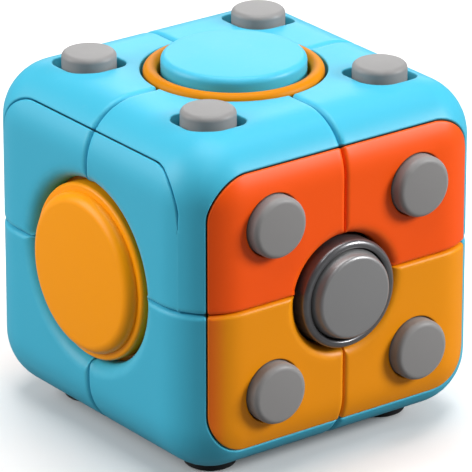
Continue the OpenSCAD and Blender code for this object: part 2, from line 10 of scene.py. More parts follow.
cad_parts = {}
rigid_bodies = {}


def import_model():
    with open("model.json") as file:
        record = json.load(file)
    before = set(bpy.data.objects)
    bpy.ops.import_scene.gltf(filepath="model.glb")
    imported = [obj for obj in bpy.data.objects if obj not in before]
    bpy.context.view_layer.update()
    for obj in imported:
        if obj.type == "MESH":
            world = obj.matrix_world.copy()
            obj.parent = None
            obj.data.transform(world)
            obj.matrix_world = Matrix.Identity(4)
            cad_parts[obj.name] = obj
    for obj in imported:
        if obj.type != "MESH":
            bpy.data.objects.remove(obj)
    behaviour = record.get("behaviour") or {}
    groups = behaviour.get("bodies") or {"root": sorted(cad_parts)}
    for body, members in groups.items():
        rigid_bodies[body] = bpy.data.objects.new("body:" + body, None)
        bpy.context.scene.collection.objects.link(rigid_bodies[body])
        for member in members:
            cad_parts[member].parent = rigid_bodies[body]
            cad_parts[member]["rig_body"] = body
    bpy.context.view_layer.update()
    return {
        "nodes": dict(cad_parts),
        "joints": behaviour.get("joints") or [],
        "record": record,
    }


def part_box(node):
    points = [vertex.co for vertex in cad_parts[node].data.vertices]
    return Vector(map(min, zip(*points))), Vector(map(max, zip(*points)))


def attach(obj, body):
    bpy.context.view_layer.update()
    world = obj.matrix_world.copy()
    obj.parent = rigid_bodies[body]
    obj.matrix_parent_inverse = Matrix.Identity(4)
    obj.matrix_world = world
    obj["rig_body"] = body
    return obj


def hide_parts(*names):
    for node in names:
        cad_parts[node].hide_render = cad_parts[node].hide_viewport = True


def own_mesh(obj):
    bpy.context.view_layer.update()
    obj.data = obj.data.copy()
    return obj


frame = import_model()
mm = 0.001      # lengths in this script are millimetres until they are given to Blender
slotOf = {part["node"]: part["material_slot"] for part in frame["record"]["subparts"]}


def intoScene(thing):
    bpy.context.scene.collection.objects.link(thing)


def boxOf(node):
    # lowest and highest corner of a node
    low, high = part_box(node)
    return np.array(low) / mm, np.array(high) / mm


# The cube's driving sizes, read from the frame
upperLow, upperHigh = boxOf("shell_top_front_right")
lowerLow, lowerHigh = boxOf("shell_bottom_front_right")
sideLow, sideHigh = boxOf("right_tile_front")
tileLow, tileHigh = boxOf("front_tile_top_right")
halfSize = np.array([sideHigh[0], -tileLow[1], (upperHigh[2] - lowerLow[2]) / 2])
middle = (upperHigh[2] + lowerLow[2]) / 2
halfGap = upperLow[0]
seamRise = (upperLow[2] + lowerHigh[2]) / 2 - middle
print("frame read: half sizes", halfSize.round(3), "middle", round(middle, 3))


def put(tree, kind, feeds=None, **props):
    # adds a node with its settings, and feeds its inputs with sockets or plain values
    node = tree.nodes.new(kind)
    for key, value in props.items():
        setattr(node, key, value)
    for key, value in (feeds or {}).items():
        if isinstance(value, bpy.types.NodeSocket):
            tree.links.new(value, node.inputs[key])
        else:
            node.inputs[key].default_value = value
    return node


def result(tree, kind, feeds=None, **props):
    return put(tree, kind, feeds, **props).outputs[0]


def newGroup(name, kind, inputs, outputs):
    tree = bpy.data.node_groups.new(name, kind)
    for label, socket, value in inputs:
        made = tree.interface.new_socket(label, in_out="INPUT", socket_type="NodeSocket" + socket)
        if value is not None:
            made.default_value = value
    for label, socket in outputs:
        tree.interface.new_socket(label, in_out="OUTPUT", socket_type="NodeSocket" + socket)
    return tree, tree.nodes.new("NodeGroupInput").outputs, tree.nodes.new("NodeGroupOutput").inputs


def noise(tree, place, scale, detail, roughness=0.5):
    feeds = {"Vector": place, "Scale": scale, "Detail": detail, "Roughness": roughness}
    return result(tree, "ShaderNodeTexNoise", feeds)


def mapped(tree, value, start, end, low=0.0, high=1.0, **props):
    # what runs from start to end is made to run from low to high
    feeds = {"Value": value, "From Min": start, "From Max": end, "To Min": low, "To Max": high}
    return result(tree, "ShaderNodeMapRange", feeds, **props)


def reckon(tree, first, operation, second, kind="ShaderNodeMath", **props):
    return result(tree, kind, {0: first, 1: second}, operation=operation, **props)


def mouldGrain():
    # fine texture of a spark-finished mould, with slow changes of tone and gloss across the piece
    tree, given, wanted = newGroup(
        "mouldGrain", "ShaderNodeTree",
        [("Grain Scale", "Float", 5200.0), ("Patch Scale", "Float", 90.0)],
        [("Height", "Float"), ("Tone", "Float"), ("Gloss", "Float")])
    place = put(tree, "ShaderNodeTexCoord").outputs["Object"]
    streaks = result(tree, "ShaderNodeMapping", {"Vector": place, "Scale": (1.0, 1.0, 0.35)})
    tree.links.new(noise(tree, place, given["Grain Scale"], 3.0, 0.6), wanted["Height"])
    tree.links.new(noise(tree, place, given["Patch Scale"], 2.0), wanted["Tone"])
    tree.links.new(noise(tree, streaks, given["Patch Scale"], 4.0, 0.65), wanted["Gloss"])
    return tree


def rimWear():
    # mask of the painted highlight along rounded edges, from the rim attribute and broken up by noise
    tree, given, wanted = newGroup(
        "rimWear", "ShaderNodeTree",
        [("Amount", "Float", 0.5), ("Break Scale", "Float", 900.0)],
        [("Mask", "Float")])
    rim = put(tree, "ShaderNodeAttribute", attribute_name="rim").outputs["Fac"]
    place = put(tree, "ShaderNodeTexCoord").outputs["Object"]
    broken = mapped(tree, noise(tree, place, given["Break Scale"], 3.0), 0.3, 0.7, 0.4, 1.0)
    both = reckon(tree, rim, "MULTIPLY", broken)
    tree.links.new(reckon(tree, both, "MULTIPLY", given["Amount"], use_clamp=True), wanted["Mask"])
    return tree


def dustCover():
    # mask of the pale dust that settles thinly on what faces upwards
    tree, given, wanted = newGroup(
        "dustCover", "ShaderNodeTree",
        [("Amount", "Float", 0.1), ("Speck Scale", "Float", 1600.0)],
        [("Mask", "Float")])
    normal = put(tree, "ShaderNodeNewGeometry").outputs["Normal"]
    up = put(tree, "ShaderNodeSeparateXYZ", {0: normal}).outputs["Z"]
    place = put(tree, "ShaderNodeTexCoord").outputs["Object"]
    specks = mapped(tree, noise(tree, place, given["Speck Scale"], 5.0, 0.7), 0.55, 0.8)
    both = reckon(tree, specks, "MULTIPLY", mapped(tree, up, 0.3, 1.0))
    tree.links.new(reckon(tree, both, "MULTIPLY", given["Amount"], use_clamp=True), wanted["Mask"])
    return tree


shared = {"grain": mouldGrain(), "wear": rimWear(), "dust": dustCover()}
print("shader groups built")


def mixColour(tree, factor, first, second):
    return put(tree, "ShaderNodeMix", {0: factor, 6: first, 7: second}, data_type="RGBA").outputs[2]


def rgba(colour, gain=1.0):
    return tuple(min(1.0, c * gain) for c in colour) + (1.0,)


def fadeAcross(tree, base, look):
    # the colour turns redder and darker near one outer edge of the piece
    place = put(tree, "ShaderNodeTexCoord").outputs["Object"]
    across = put(tree, "ShaderNodeSeparateXYZ", {0: place}).outputs["X"]
    start, end = look["edgeSpan"]
    fade = mapped(tree, across, start * mm, end * mm, interpolation_type="SMOOTHSTEP")
    return mixColour(tree, fade, base, rgba(look["edgeColour"]))


def plastic(name, look):
    # a moulded or metal finish from one set of values
    material = bpy.data.materials.new(name)
    material.use_nodes = True
    tree = material.node_tree
    tree.nodes.clear()
    scales = {"Grain Scale": look["grainScale"], "Patch Scale": look["patchScale"]}
    grain = put(tree, "ShaderNodeGroup", scales, node_tree=shared["grain"]).outputs
    darker, lighter = (rgba(look["colour"], 1 + share * look["toneRange"]) for share in (-1, 1))
    base = mixColour(tree, grain["Tone"], darker, lighter)
    if "edgeColour" in look:
        base = fadeAcross(tree, base, look)
    # a painted highlight lightens the rounded rims, then pale dust settles on what faces up
    for layer, colour in (("wear", look["worn"]), ("dust", look["dustColour"])):
        if look[layer]:
            mask = result(tree, "ShaderNodeGroup", {"Amount": look[layer]}, node_tree=shared[layer])
            base = mixColour(tree, mask, base, rgba(colour))
    bump = result(tree, "ShaderNodeBump", {
        "Strength": look["bump"], "Distance": look["bumpDepth"], "Height": grain["Height"]})
    shader = result(tree, "ShaderNodeBsdfPrincipled", {
        "Base Color": base, "Roughness": mapped(tree, grain["Gloss"], 0.3, 0.7, *look["roughness"]),
        "Normal": bump, "Metallic": look["metallic"], "IOR": look["ior"],
        "Specular IOR Level": look["specular"], "Coat Weight": look["coat"],
        "Coat Roughness": look["coatRoughness"], "Subsurface Weight": look["glow"],
        "Subsurface Radius": look["glowReach"]})
    output = tree.nodes.new("ShaderNodeOutputMaterial")
    tree.links.new(shader, output.inputs[0])
    return material


# shared values; among them, how strongly a painted highlight lightens the rounded rims
plain = {
    "grainScale": 5200.0, "patchScale": 90.0, "toneRange": 0.03, "bump": 0.12, "bumpDepth": 0.00002,
    "wear": 0.25, "dust": 0.03, "dustColour": (0.75, 0.74, 0.72),
    "roughness": (0.34, 0.44), "specular": 0.22, "ior": 1.5, "metallic": 0.0,
    "coat": 0.0, "coatRoughness": 0.1, "glow": 0.0, "glowReach": (0.0012, 0.0010, 0.0008),
}
# the lighter second colour of each finish is its painted highlight on rounded rims
finishes = {
    "shell_blue": {"colour": (0.055, 0.44, 0.62), "worn": (0.14, 0.62, 0.80)},
    "tile_orange": {"colour": (0.90, 0.088, 0.002), "worn": (1.0, 0.20, 0.02)},
    "tile_amber": {"colour": (0.80, 0.27, 0.001), "worn": (1.0, 0.42, 0.01)},
    "pad_orange": {"colour": (1.0, 0.34, 0.001), "worn": (1.0, 0.46, 0.02), "roughness": (0.3, 0.4)},
    "ring_yellow": {"colour": (0.62, 0.21, 0.001), "worn": (0.70, 0.28, 0.01), "roughness": (0.4, 0.5),
                    "specular": 0.1},
    "button_gray": {"colour": (0.235, 0.23, 0.228), "worn": (0.32, 0.32, 0.32), "roughness": (0.38, 0.5)},
    "gunmetal": {"colour": (0.11, 0.11, 0.115), "worn": (0.26, 0.26, 0.27), "roughness": (0.26, 0.36),
                 "metallic": 0.6, "specular": 0.5, "coat": 0.4, "wear": 0.4, "bump": 0.06},
    "core_gray": {"colour": (0.62, 0.64, 0.66), "worn": (0.75, 0.76, 0.78), "roughness": (0.45, 0.6),
                  "dust": 0},
    "acetal": {"colour": (0.80, 0.80, 0.77), "worn": (0.9, 0.9, 0.88), "dust": 0},
    "silicone": {"colour": (0.68, 0.70, 0.70), "worn": (0.8, 0.8, 0.8), "roughness": (0.4, 0.55),
                 "dust": 0, "glow": 0.3},
    "rubber_black": {"colour": (0.018, 0.018, 0.02), "worn": (0.06, 0.06, 0.06), "roughness": (0.6, 0.8),
                     "bump": 0.3},
    "steel": {"colour": (0.55, 0.56, 0.58), "worn": (0.75, 0.75, 0.76), "roughness": (0.25, 0.4),
              "metallic": 1.0, "dust": 0},
}
variants = {
    "tile_amber_faded": ("tile_amber", {"edgeColour": (0.90, 0.16, 0.008), "edgeSpan": (-12.6, -14.4)}),
    "gunmetal_satin": ("gunmetal", {"colour": (0.245, 0.245, 0.247), "worn": (0.42, 0.42, 0.43),
                                    "roughness": (0.36, 0.46), "metallic": 0.4}),
}
materials = {slot: plastic(slot, {**plain, **look}) for slot, look in finishes.items()}
for name, (slot, change) in variants.items():
    materials[name] = plastic(name, {**plain, **finishes[slot], **change})
print("materials built:", len(materials))


def endTree(tree, geometry, given, wanted):
    # every tree ends in real geometry with its material
    real = result(tree, "GeometryNodeRealizeInstances", {"Geometry": geometry})
    dressed = result(tree, "GeometryNodeSetMaterial", {"Geometry": real, "Material": given["Material"]})
    tree.links.new(dressed, wanted["Geometry"])
    return tree


def turnedTree():
    # spins a half section about Z: one row of the grid for each point of the rounded section
    tree, given, wanted = newGroup(
        "turnedPart", "GeometryNodeTree",
        [("Section", "Geometry", None), ("Segments", "Int", 96),
         ("Fillet Steps", "Int", 6), ("Weld Distance", "Float", 1e-6),
         ("Material", "Material", None)],
        [("Geometry", "Geometry")])
    whole = "FunctionNodeIntegerMath"
    section = result(tree, "GeometryNodeMeshToCurve", {"Mesh": given["Section"]})
    fillet = put(tree, "GeometryNodeInputNamedAttribute", {"Name": "fillet"}, data_type="FLOAT")
    rounded = result(tree, "GeometryNodeFilletCurve", {
        "Curve": section, "Radius": fillet.outputs["Attribute"], "Count": given["Fillet Steps"],
        "Limit Radius": True}, mode="POLY")
    size = put(tree, "GeometryNodeAttributeDomainSize", {0: rounded}, component="CURVE")
    columns = reckon(tree, given["Segments"], "ADD", 1, whole)
    grid = put(tree, "GeometryNodeMeshGrid", {
        "Vertices X": size.outputs["Point Count"], "Vertices Y": columns}).outputs["Mesh"]
    index = result(tree, "GeometryNodeInputIndex")
    row = reckon(tree, index, "DIVIDE_FLOOR", columns, whole)
    column = reckon(tree, index, "MODULO", columns, whole)
    position = result(tree, "GeometryNodeInputPosition")
    sample = result(tree, "GeometryNodeSampleIndex", {"Geometry": rounded, "Value": position, "Index": row},
                    data_type="FLOAT_VECTOR", domain="POINT")
    angle = reckon(tree, reckon(tree, column, "DIVIDE", given["Segments"]), "MULTIPLY", 2 * math.pi)
    spun = result(tree, "ShaderNodeVectorRotate", {"Vector": sample, "Angle": angle},
                  rotation_type="Z_AXIS")
    placed = result(tree, "GeometryNodeSetPosition", {"Geometry": grid, "Position": spun})
    welded = result(tree, "GeometryNodeMergeByDistance", {
        "Geometry": placed, "Distance": given["Weld Distance"]})
    return endTree(tree, welded, given, wanted)


def springTree():
    # round wire wound about Z
    tree, given, wanted = newGroup(
        "coilSpring", "GeometryNodeTree",
        [("Geometry", "Geometry", None), ("Radius", "Float", 0.004),
         ("Wire Radius", "Float", 0.00025), ("Wire Sides", "Int", 12),
         ("Height", "Float", 0.005), ("Turns", "Float", 4.0),
         ("Points Per Turn", "Int", 40), ("Material", "Material", None)],
        [("Geometry", "Geometry")])
    spiral = result(tree, "GeometryNodeCurveSpiral", {
        "Resolution": given["Points Per Turn"], "Rotations": given["Turns"], "Start Radius": given["Radius"],
        "End Radius": given["Radius"], "Height": given["Height"]})
    wire = result(tree, "GeometryNodeCurvePrimitiveCircle", {
        "Resolution": given["Wire Sides"], "Radius": given["Wire Radius"]}, mode="RADIUS")
    swept = result(tree, "GeometryNodeCurveToMesh", {
        "Curve": spiral, "Profile Curve": wire, "Fill Caps": True})
    return endTree(tree, swept, given, wanted)


def setOutTree():
    # sets copies of a part out on the given points
    tree, given, wanted = newGroup(
        "setOut", "GeometryNodeTree",
        [("Points", "Geometry", None), ("Part", "Object", None),
         ("Material", "Material", None)],
        [("Geometry", "Geometry")])
    part = put(tree, "GeometryNodeObjectInfo", {"Object": given["Part"], "As Instance": True},
               transform_space="ORIGINAL").outputs["Geometry"]
    copies = result(tree, "GeometryNodeInstanceOnPoints", {"Points": given["Points"], "Instance": part})
    return endTree(tree, copies, given, wanted)


trees = {"turned": turnedTree(), "spring": springTree(), "setOut": setOutTree()}


def runTree(tree, mesh, settings):
    # puts the tree on a scratch object and returns what it makes as a plain mesh
    scratch = bpy.data.objects.new("scratch", mesh)
    intoScene(scratch)
    modifier = scratch.modifiers.new("shape", "NODES")
    modifier.node_group = tree
    for item in tree.interface.items_tree:
        if item.in_out == "INPUT" and item.name in settings:
            modifier[item.identifier] = settings[item.name]
    bpy.context.view_layer.update()
    graph = bpy.context.evaluated_depsgraph_get()
    made = bpy.data.meshes.new_from_object(scratch.evaluated_get(graph), depsgraph=graph)
    scratch.modifiers.remove(modifier)
    bpy.data.objects.remove(scratch)
    return made


def facesOutward(mesh):
    shape = bmesh.new()
    shape.from_mesh(mesh)
    bmesh.ops.recalc_face_normals(shape, faces=shape.faces)
    shape.to_mesh(mesh)
    shape.free()


def turnedMesh(section, slot, segments=96, steps=6):
    # section is a list of (radius, height, fillet), with Z up from the face
    mesh = bpy.data.meshes.new("section")
    edges = [(k, k + 1) for k in range(len(section) - 1)]
    mesh.from_pydata([(r * mm, 0, z * mm) for r, z, _ in section], edges, [])
    fillet = mesh.attributes.new("fillet", "FLOAT", "POINT")
    fillet.data.foreach_set("value", [f * mm for _, _, f in section])
    made = runTree(trees["turned"], mesh, {
        "Segments": segments, "Fillet Steps": steps, "Weld Distance": 2e-7, "Material": materials[slot]})
    bpy.data.meshes.remove(mesh)
    facesOutward(made)
    return made


rims = {
    "least": 0.16,          # turn between faces, in radians, at which the painted rim highlight starts
    "span": 0.12,           # further turn over which the painted highlight becomes full
    "sharp": 40,            # degrees between faces past which the shading breaks
}


def camel(name):
    first, *rest = name.split("_")
    return first + "".join(word.capitalize() for word in rest)


def markRims(mesh):
    # the rim attribute is 1 on rounded edges, where the surface turns quickly; the finishes paint a highlight
    # there
    shape = bmesh.new()
    shape.from_mesh(mesh)
    turn = [max([abs(edge.calc_face_angle(0.0)) for edge in v.link_edges] or [0.0]) for v in shape.verts]
    shape.free()
    rim = np.clip((np.array(turn, np.float32) - rims["least"]) / rims["span"], 0, 1)
    attribute = mesh.attributes.new("rim", "FLOAT", "POINT")
    attribute.data.foreach_set("value", rim)


def finishPiece(mesh, node, material=None):
    # dresses the mesh and lets it stand for its node on the node's body
    mesh.materials.clear()
    mesh.materials.append(materials[material or slotOf[node]])
    mesh.shade_smooth()
    mesh.set_sharp_from_angle(angle=math.radians(rims["sharp"]))
    markRims(mesh)
    piece = bpy.data.objects.new(camel(node), mesh)
    mesh.name = piece.name
    intoScene(piece)
    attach(piece, frame["nodes"][node]["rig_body"])
    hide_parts(node)
    return piece


cube = {
    "edgeRadius": 5.4,      # rounding of the cube's edges and corners
    "wall": 2.0,            # thickness of the shells and tiles
    "tileRadius": 4.0,      # corner radius of the tiles
    "seamLip": 0.5,         # rounded edge along the seams between shells
    "tileSeamLip": 0.42,    # rounded edge along the seams between tiles
    "outlineLip": 0.15,     # rounded edge along a tile's outline
    "collarLip": 1.1,       # rounded edge of the opening for the collar
    "padLip": 1.4,          # rounded edge of the opening for the thumb pad
    "holeLip": 0.14,        # rounded edge of the other openings
    "fadeFrom": 9.6,        # the side tile's outline closes up from this height above the middle
    "fadeTo": 8.0,          # and has closed at this one
    "corner": 0.35,         # how far the corners between seams are cut back
    "cornerPoints": 7,      # points round such a corner, its ends counted
    "step": 0.22,           # spacing of the points along an edge
    "leastStep": 0.02,      # least spacing of two points along an edge
    "lipTurns": (12, 24, 36, 48, 60, 75, 90),   # degrees round a lip where it has points
    "thinLip": 0.02,        # a lip up to this size has no points round it
    "pastLip": (1.25, 0.1),  # the row of points past a lip: times its size, and further
    "clearOfEdge": 0.006,   # least distance of a lip's points from every edge
    "grid": 0.62,           # spacing of the points inside a face
    "gridStart": -0.8,      # where that grid starts, before the cube's middle planes
    "gridShift": 0.013,     # keeps its rows off the planes of the seams
    "gridClear": 0.5,       # least distance of its points from every edge
}
inner = halfSize - cube["edgeRadius"]
frontTile = (tileHigh[0], tileHigh[2] - middle)
sideTile = (-sideLow[1], sideHigh[2] - middle)
tileGap = 2 * halfGap


def centred(node):
    # centre of a node's box about the cube's middle, and half its size
    low, high = boxOf(node)
    return (low + high) / 2 - [0, 0, middle], (high - low) / 2


buttonCentre, buttonHalf = centred("front_button_top_right")
topCentre, topHalf = centred("top_button_rear_right")
collarCentre, collarHalf = centred("front_collar")
ringHalf = centred("spin_ring")[1]
padHalf = centred("right_thumb_pad")[1]
discHalf = centred("top_disc")[1]
# How far each flange runs on behind the edge of its opening
laps = {"ring": 0.5, "pad": 0.6, "collar": 0.65, "button": 0.5}
openings = {
    "ring": ringHalf[0] - laps["ring"],
    "pad": padHalf[1] - laps["pad"],
    "collar": collarHalf[0] - laps["collar"],
    "button": buttonHalf[0] - laps["button"],
    "foot": 2.45,
    "pocketHalf": 2.72,
    "pocketCorners": (2.4, 1.2),    # radii of the corners that lie along and across the pocket
}
footRadius = 2.4
footPlace = boxOf("rubber_feet")[1][:2] - footRadius


def across(axis):
    # the other two coordinates
    return [k for k in range(3) if k != axis]


def skinLift(axis, points):
    # places points given by two coordinates onto the rounded cube's face across the third
    others = across(axis)
    over = np.maximum(points[:, others] - inner[others], 0)
    out = points.copy()
    out[:, axis] = inner[axis] + np.sqrt(np.maximum(cube["edgeRadius"] ** 2 - (over ** 2).sum(1), 0))
    return out


def skinNormal(points):
    # outward direction of the rounded cube at points on its skin
    over = np.maximum(points - inner, 0)
    return over / np.linalg.norm(over, axis=1)[:, None]


rays = {"far": 60.0, "halvings": 44}


def skinCast(directions):
    # where rays from the cube's middle meet the rounded cube
    low = np.zeros(len(directions))
    high = np.full(len(directions), rays["far"]) / np.linalg.norm(directions, axis=1)
    for _ in range(rays["halvings"]):
        half = (low + high) / 2
        over = directions * half[:, None] - inner
        beyond = np.linalg.norm(np.maximum(over, 0), axis=1) + np.minimum(over.max(1), 0)
        outside = beyond > cube["edgeRadius"]
        high = np.where(outside, half, high)
        low = np.where(outside, low, half)
    return directions * ((low + high) / 2)[:, None]


def spread(length):
    # number of points along a stretch of an edge
    return max(3, int(math.ceil(length / cube["step"])) + 1)


def seamPath(fixed, value, first, second, start, end):
    # along the plane where coordinate fixed is value, from face first to face second
    r = cube["edgeRadius"]
    quarter = r * math.pi / 2

    def along(c, face):
        # distance over the skin to where the coordinate is c, from where the flat of the face ends
        past = c - inner[face]
        return past if past <= 0 else r * math.asin(past / r)

    begin, finish = along(start, second), quarter - along(end, first)
    s = np.linspace(begin, finish, spread(finish - begin))
    turn = np.clip(s, 0, quarter) / r
    points = np.full((len(s), 3), float(value))
    points[:, first] = inner[first] + r * np.cos(turn) - np.maximum(s - quarter, 0)
    points[:, second] = inner[second] + r * np.sin(turn) + np.minimum(s, 0)
    return points


def outlinePath(axis, side, top, lowSide, lowTop, grow=0.0):
    # a tile's outline from its middle seam out along the top edge, round the corner and down its outer side
    other = 0 if axis == 1 else 1
    r = cube["tileRadius"]
    w, h = side + grow, top + grow
    flat = np.linspace(lowSide, w - r, spread(w - r - lowSide))
    angle = np.linspace(math.pi / 2, 0, spread(r * math.pi / 2))
    down = np.linspace(h - r, lowTop, spread(h - r - lowTop))
    u = np.concatenate([flat, w - r + r * np.cos(angle[1:]), np.full(len(down) - 1, w)])
    v = np.concatenate([np.full(len(flat), h), h - r + r * np.sin(angle[1:]), down[1:]])
    points = np.zeros((len(u), 3))
    points[:, other], points[:, 2] = u, v
    return skinLift(axis, points)


def arcPath(axis, centre, radius, start, end):
    # an arc on the face across axis, with angles in the plane of the other two coordinates
    others = across(axis)
    angle = np.linspace(start, end, spread(abs(end - start) * radius))
    points = np.zeros((len(angle), 3))
    points[:, others[0]] = centre[0] + radius * np.cos(angle)
    points[:, others[1]] = centre[1] + radius * np.sin(angle)
    return skinLift(axis, points)


def circlePath(axis, centre, radius):
    return arcPath(axis, centre, radius, 0, 2 * math.pi)[:-1]


def quarterArc(axis, rise, radius, low):
    # the stretch of a round opening from a level seam at low up to the upright seam
    return arcPath(axis, (0, rise), radius, math.asin((low - rise) / radius), math.acos(halfGap / radius))


def straightPath(axis, along, start, end, fixed):
    # a line on the face across axis, on which one coordinate runs from start to end and the other is fixed
    run = np.linspace(start, end, spread(abs(end - start)))
    points = np.zeros((len(run), 3))
    points[:, along], points[:, 3 - axis - along] = run, fixed
    return skinLift(axis, points)


def chord(radius, offset):
    # half the width of a circle at an offset from its centre
    return math.sqrt(radius ** 2 - offset ** 2)


def pocketPath(centre, half, radii):
    # a square on the top face whose corners have their own radii, turning anticlockwise from the outer corner
    parts = []
    for k, radius in enumerate(radii):
        begin = k * math.pi / 2
        angle = np.linspace(begin, begin + math.pi / 2, spread(radius * math.pi / 2))
        cornerX = (half - radius) * (1 if k in (0, 3) else -1)
        cornerY = (half - radius) * (1 if k in (0, 1) else -1)
        parts.append(np.stack([cornerX + radius * np.cos(angle), cornerY + radius * np.sin(angle)], 1))
        straight = 2 * half - radius - radii[(k + 1) % 4]
        run = np.linspace(0, straight, spread(straight))[1:-1, None]
        heading = -np.array([math.cos(begin), math.sin(begin)])
        parts.append(parts[-1][-1] + heading * run)
    flat = np.concatenate(parts)
    return skinLift(2, np.column_stack([centre + flat, np.zeros(len(flat))]))


def cutBack(points, lips, distance, atStart):
    # shortens a path by a distance measured along it
    order = slice(None) if atStart else slice(None, None, -1)
    points, lips = points[order], lips[order]
    length = np.concatenate([[0], np.cumsum(np.linalg.norm(np.diff(points, axis=0), axis=1))])
    keep = length > distance + cube["leastStep"]
    where = np.array([np.interp(distance, length, points[:, k]) for k in range(3)])
    points = np.vstack([where, points[keep]])
    lips = np.concatenate([[np.interp(distance, length, lips)], lips[keep]])
    return points[order], lips[order]


def roundedLoop(segments):
    # joins paths end to end into a closed loop; a path's third value is how far its last corner is cut back
    paths = []
    for k, (points, lip, corner) in enumerate(segments):
        lips = np.broadcast_to(np.asarray(lip, float), (len(points),)).copy()
        points, lips = cutBack(points, lips, segments[k - 1][2], True)
        paths.append(cutBack(points, lips, corner, False))
    allPoints, allLips = [], []
    for k, (points, lips) in enumerate(paths):
        nextPoints, nextLips = paths[(k + 1) % len(paths)]
        whole, _, corner = segments[k]
        if corner == 0:
            allPoints.append(points[:-1])
            allLips.append(lips[:-1])
            continue
        t = np.linspace(0, 1, cube["cornerPoints"])[1:-1, None]
        bend = (1 - t) ** 2 * points[-1] + 2 * t * (1 - t) * whole[-1] + t ** 2 * nextPoints[0]
        allPoints += [points, skinCast(bend)]
        allLips += [lips, (1 - t[:, 0]) * lips[-1] + t[:, 0] * nextLips[0]]
    return np.vstack(allPoints), np.concatenate(allLips)


flatAxes = np.array([[1, -1, 0], [1, 1, -2]]) / np.array([[math.sqrt(2)], [math.sqrt(6)]])
flatScale = 30.0


def flatten(points):
    # lays the corner of the cube out flat, as seen from its middle along the diagonal
    return points @ flatAxes.T / points.sum(1)[:, None] * flatScale


def unflatten(flat):
    return skinCast(flat / flatScale @ flatAxes + 1 / 3)


def insideLoops(points, loops):
    # inside the outer loop and outside the holes
    inside = np.zeros(len(points), bool)
    for loop in loops:
        a, b = loop, np.roll(loop, -1, axis=0)
        for (ax, ay), (bx, by) in zip(a, b):
            if ay == by:
                continue
            crosses = (ay > points[:, 1]) != (by > points[:, 1])
            inside ^= crosses & (points[:, 0] < (bx - ax) * (points[:, 1] - ay) / (by - ay) + ax)
    return inside


rowsAtOnce = 800     # keeps the tables of distances small


def edgeReach(points, loops):
    # distance from each point to the nearest edge, and how far the deepest lip sinks it below the skin
    nearest = np.full(len(points), np.inf)
    depth = np.zeros(len(points))
    for loop, lips in loops:
        along = np.roll(loop, -1, axis=0) - loop
        square = np.maximum((along ** 2).sum(1), 1e-12)
        change = np.roll(lips, -1) - lips
        for start in range(0, len(points), rowsAtOnce):
            part = slice(start, start + rowsAtOnce)
            reach = points[part][:, None] - loop[None]
            t = np.clip((reach * along).sum(2) / square, 0, 1)
            distance = np.linalg.norm(reach - along * t[:, :, None], axis=2)
            lip = np.maximum(lips + change * t, 1e-6)
            inset = np.clip(lip - distance, 0, None)
            sunk = lip - np.sqrt(np.maximum(lip ** 2 - inset ** 2, 0))
            nearest[part] = np.minimum(nearest[part], distance.min(1))
            depth[part] = np.maximum(depth[part], sunk.max(1))
    return nearest, depth


def faceGrid():
    # an even grid over the three faces of one corner of the rounded cube
    r, step = cube["edgeRadius"], cube["grid"]
    found = []
    for axis in range(3):
        others = across(axis)
        spans = []
        for k in others:
            reach = inner[k] + r * math.pi / 4
            spans.append(np.arange(cube["gridStart"], reach, step) + cube["gridShift"] * (k + 1))
        p, q = (a.ravel() for a in np.meshgrid(*spans))
        slopes = [np.tan(np.clip((c - inner[k]) / r, 0, math.pi / 4)) for c, k in zip((p, q), others)]
        normal = np.ones((len(p), 3))
        normal[:, others[0]], normal[:, others[1]] = slopes
        normal /= np.linalg.norm(normal, axis=1)[:, None]
        points = np.tile(inner, (len(p), 1)) + r * normal
        for c, k in zip((p, q), others):
            points[:, k] = np.where(c < inner[k], c, points[:, k])
        found.append(points)
    return np.vstack(found)


gridPoints = faceGrid()


def withoutPinches(faces):
    # a sliver that hangs on one point of the edge is dropped, and a hole of one sliver is filled
    faces = [tuple(int(i) for i in face) for face in faces]
    sides = {pair for a, b, c in faces for pair in ((a, b), (b, c), (c, a))}
    onward = {}
    for a, b in sorted(sides):
        if (b, a) not in sides:
            onward.setdefault(a, []).append(b)
    for a in [point for point, after in onward.items() if len(after) > 1]:
        for b, c in [(b, c) for b in onward[a] for c in onward[b] if a in onward[c]]:
            hanging = [face for face in faces if set(face) == {a, b, c}]
            if hanging:
                faces.remove(hanging[0])
            elif (a, c, b) not in faces:
                faces.append((a, c, b))
    return np.array(faces)


def edgeRows(loops):
    # rows of points on both sides of every edge, where its lip turns and just past it
    rows = []
    times, more = cube["pastLip"]
    for points, lips in loops:
        along = np.roll(points, -1, axis=0) - np.roll(points, 1, axis=0)
        along /= np.linalg.norm(along, axis=1)[:, None]
        across = np.cross(skinNormal(points), along)
        wide = lips > cube["thinLip"]
        for side in (-1, 1):
            for turn in cube["lipTurns"]:
                offset = side * lips * (1 - math.cos(math.radians(turn)))
                rows.append((points + across * offset[:, None])[wide])
            rows.append(points + across * side * (lips * times + more)[:, None])
    return skinCast(np.vstack(rows))


